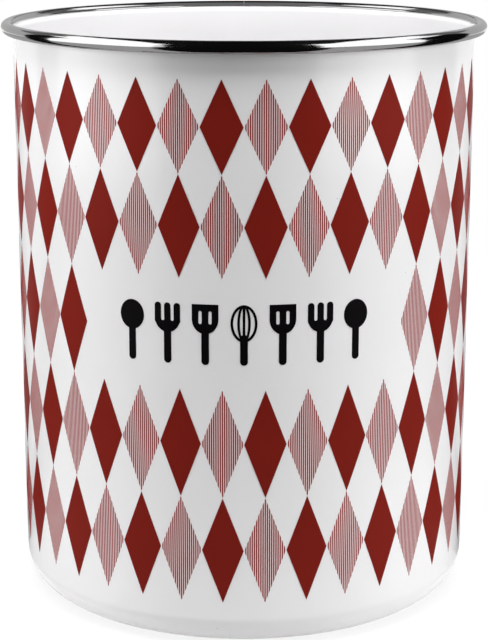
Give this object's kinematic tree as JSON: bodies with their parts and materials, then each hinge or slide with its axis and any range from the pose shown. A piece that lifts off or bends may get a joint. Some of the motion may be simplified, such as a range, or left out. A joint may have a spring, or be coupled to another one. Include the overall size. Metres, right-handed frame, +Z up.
{
  "type": "utensil crock",
  "caption": "Open straight-sided kitchen crock in white enamelled steel with a rolled stainless rim and a red harlequin print; stands free and holds upright cooking tools.",
  "frame": {"origin": "middle of the base, on the table that the crock stands on", "axes": "+Z up along the axis of the can; the label window faces -Y; +X is to the right seen from the front"},
  "size_m": [0.1486, 0.1486, 0.178],
  "materials": {
    "sheet_steel": "bare drawn low-carbon steel",
    "white_enamel": "fired glossy white vitreous enamel",
    "polished_stainless": "polished stainless strip",
    "red_print": "fired satin dark-red print",
    "striped_print": "fired satin print, fine dark-red stripes on white",
    "black_print": "fired satin black print"
  },
  "bodies": {
    "root": {"steel_body": "sheet_steel", "outer_enamel": "white_enamel", "inner_enamel": "white_enamel", "rim_band": "polished_stainless", "solid_lozenges": "red_print", "striped_lozenges": "striped_print", "tool_print": "black_print"}
  },
  "joints": []
}
